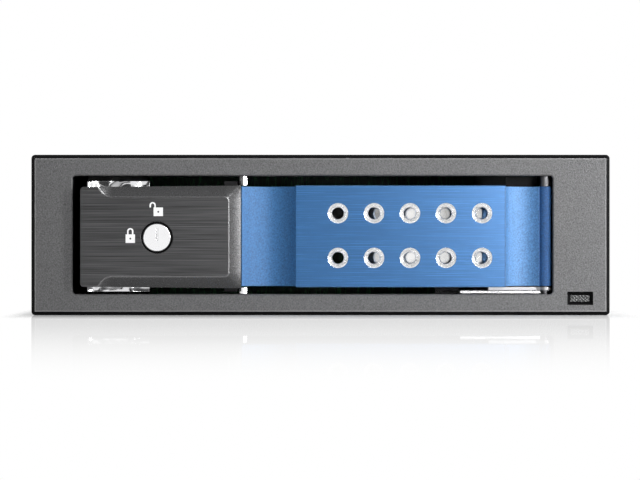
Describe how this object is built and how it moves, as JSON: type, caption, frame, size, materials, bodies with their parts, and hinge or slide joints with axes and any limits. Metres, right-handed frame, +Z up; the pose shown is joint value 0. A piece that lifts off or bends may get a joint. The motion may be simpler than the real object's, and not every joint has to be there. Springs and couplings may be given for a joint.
{
  "type": "trayless hot swap rack",
  "caption": "Trayless hot swap rack for a half-height bay: grey moulded bezel, blue aluminium door with vent holes, black latch with key lock, steel housing and drive ejector.",
  "frame": {"origin": "middle of the width and depth, on the plane of the underside", "axes": "+Z up, front face towards -Y, +X to the right as seen from the front"},
  "size_m": [0.1484, 0.1768, 0.0412],
  "materials": {
    "grey_plastic": "fine grain",
    "black_plastic": "matt",
    "clear_plastic": "polished",
    "zinc_steel": "zinc coated sheet",
    "bright_steel": "bright",
    "chrome_metal": "polished",
    "blue_anodised": "brushed and anodised",
    "black_anodised": "brushed and anodised",
    "brass_metal": "turned",
    "board_laminate": "solder mask"
  },
  "bodies": {
    "housing": {"front_bezel": "grey_plastic", "light_pipe": "clear_plastic", "chassis_tray": "zinc_steel", "top_cover": "zinc_steel", "left_rail": "black_plastic", "right_rail": "black_plastic", "backplane_board": "board_laminate", "drive_connector": "black_plastic", "data_port": "black_plastic", "power_port": "black_plastic", "status_led": "clear_plastic", "board_spacers": "brass_metal", "board_screws": "bright_steel", "bezel_screws": "bright_steel", "cover_screws": "bright_steel", "hinge_pin": "bright_steel", "hinge_spacer": "bright_steel", "strike_posts": "chrome_metal", "guide_studs": "bright_steel"},
    "door": {"door_handle": "blue_anodised", "door_carrier": "black_plastic", "handle_screws": "bright_steel", "drive_spring": "chrome_metal", "spring_rivets": "bright_steel", "eject_crank": "bright_steel", "crank_pin": "bright_steel", "crank_screw": "bright_steel", "latch_spring": "bright_steel"},
    "latch": {"latch_plate": "black_anodised", "latch_slider": "bright_steel", "latch_screws": "bright_steel", "lock_barrel": "black_plastic"},
    "lock": {"lock_plug": "chrome_metal", "lock_cam": "bright_steel", "cam_screw": "bright_steel"},
    "ejector": {"eject_slide": "bright_steel"}
  },
  "joints": [
    {"name": "door_swing", "type": "hinge", "parent": "housing", "child": "door", "pos_m": [0.05772, -0.0836, 0.02025], "axis": [0, 0, 1], "range_deg": [0, 100]},
    {"name": "latch_slide", "type": "slide", "parent": "door", "child": "latch", "axis": [-1, 0, 0], "range_m": [0, 0.0013], "stiffness_N_per_m": 400, "springref_m": -0.002, "deforming": ["latch_spring"]},
    {"name": "lock_turn", "type": "hinge", "parent": "latch", "child": "lock", "pos_m": [-0.0418, -0.0836, 0.01995], "axis": [0, -1, 0], "range_deg": [0, 90]},
    {"name": "eject_push", "type": "slide", "parent": "housing", "child": "ejector", "axis": [0, -1, 0], "range_m": [0, 0.0093]}
  ],
  "couplings": [
    {"joint": "eject_push", "follows": "door_swing", "m_per_rad": 0.005267}
  ]
}
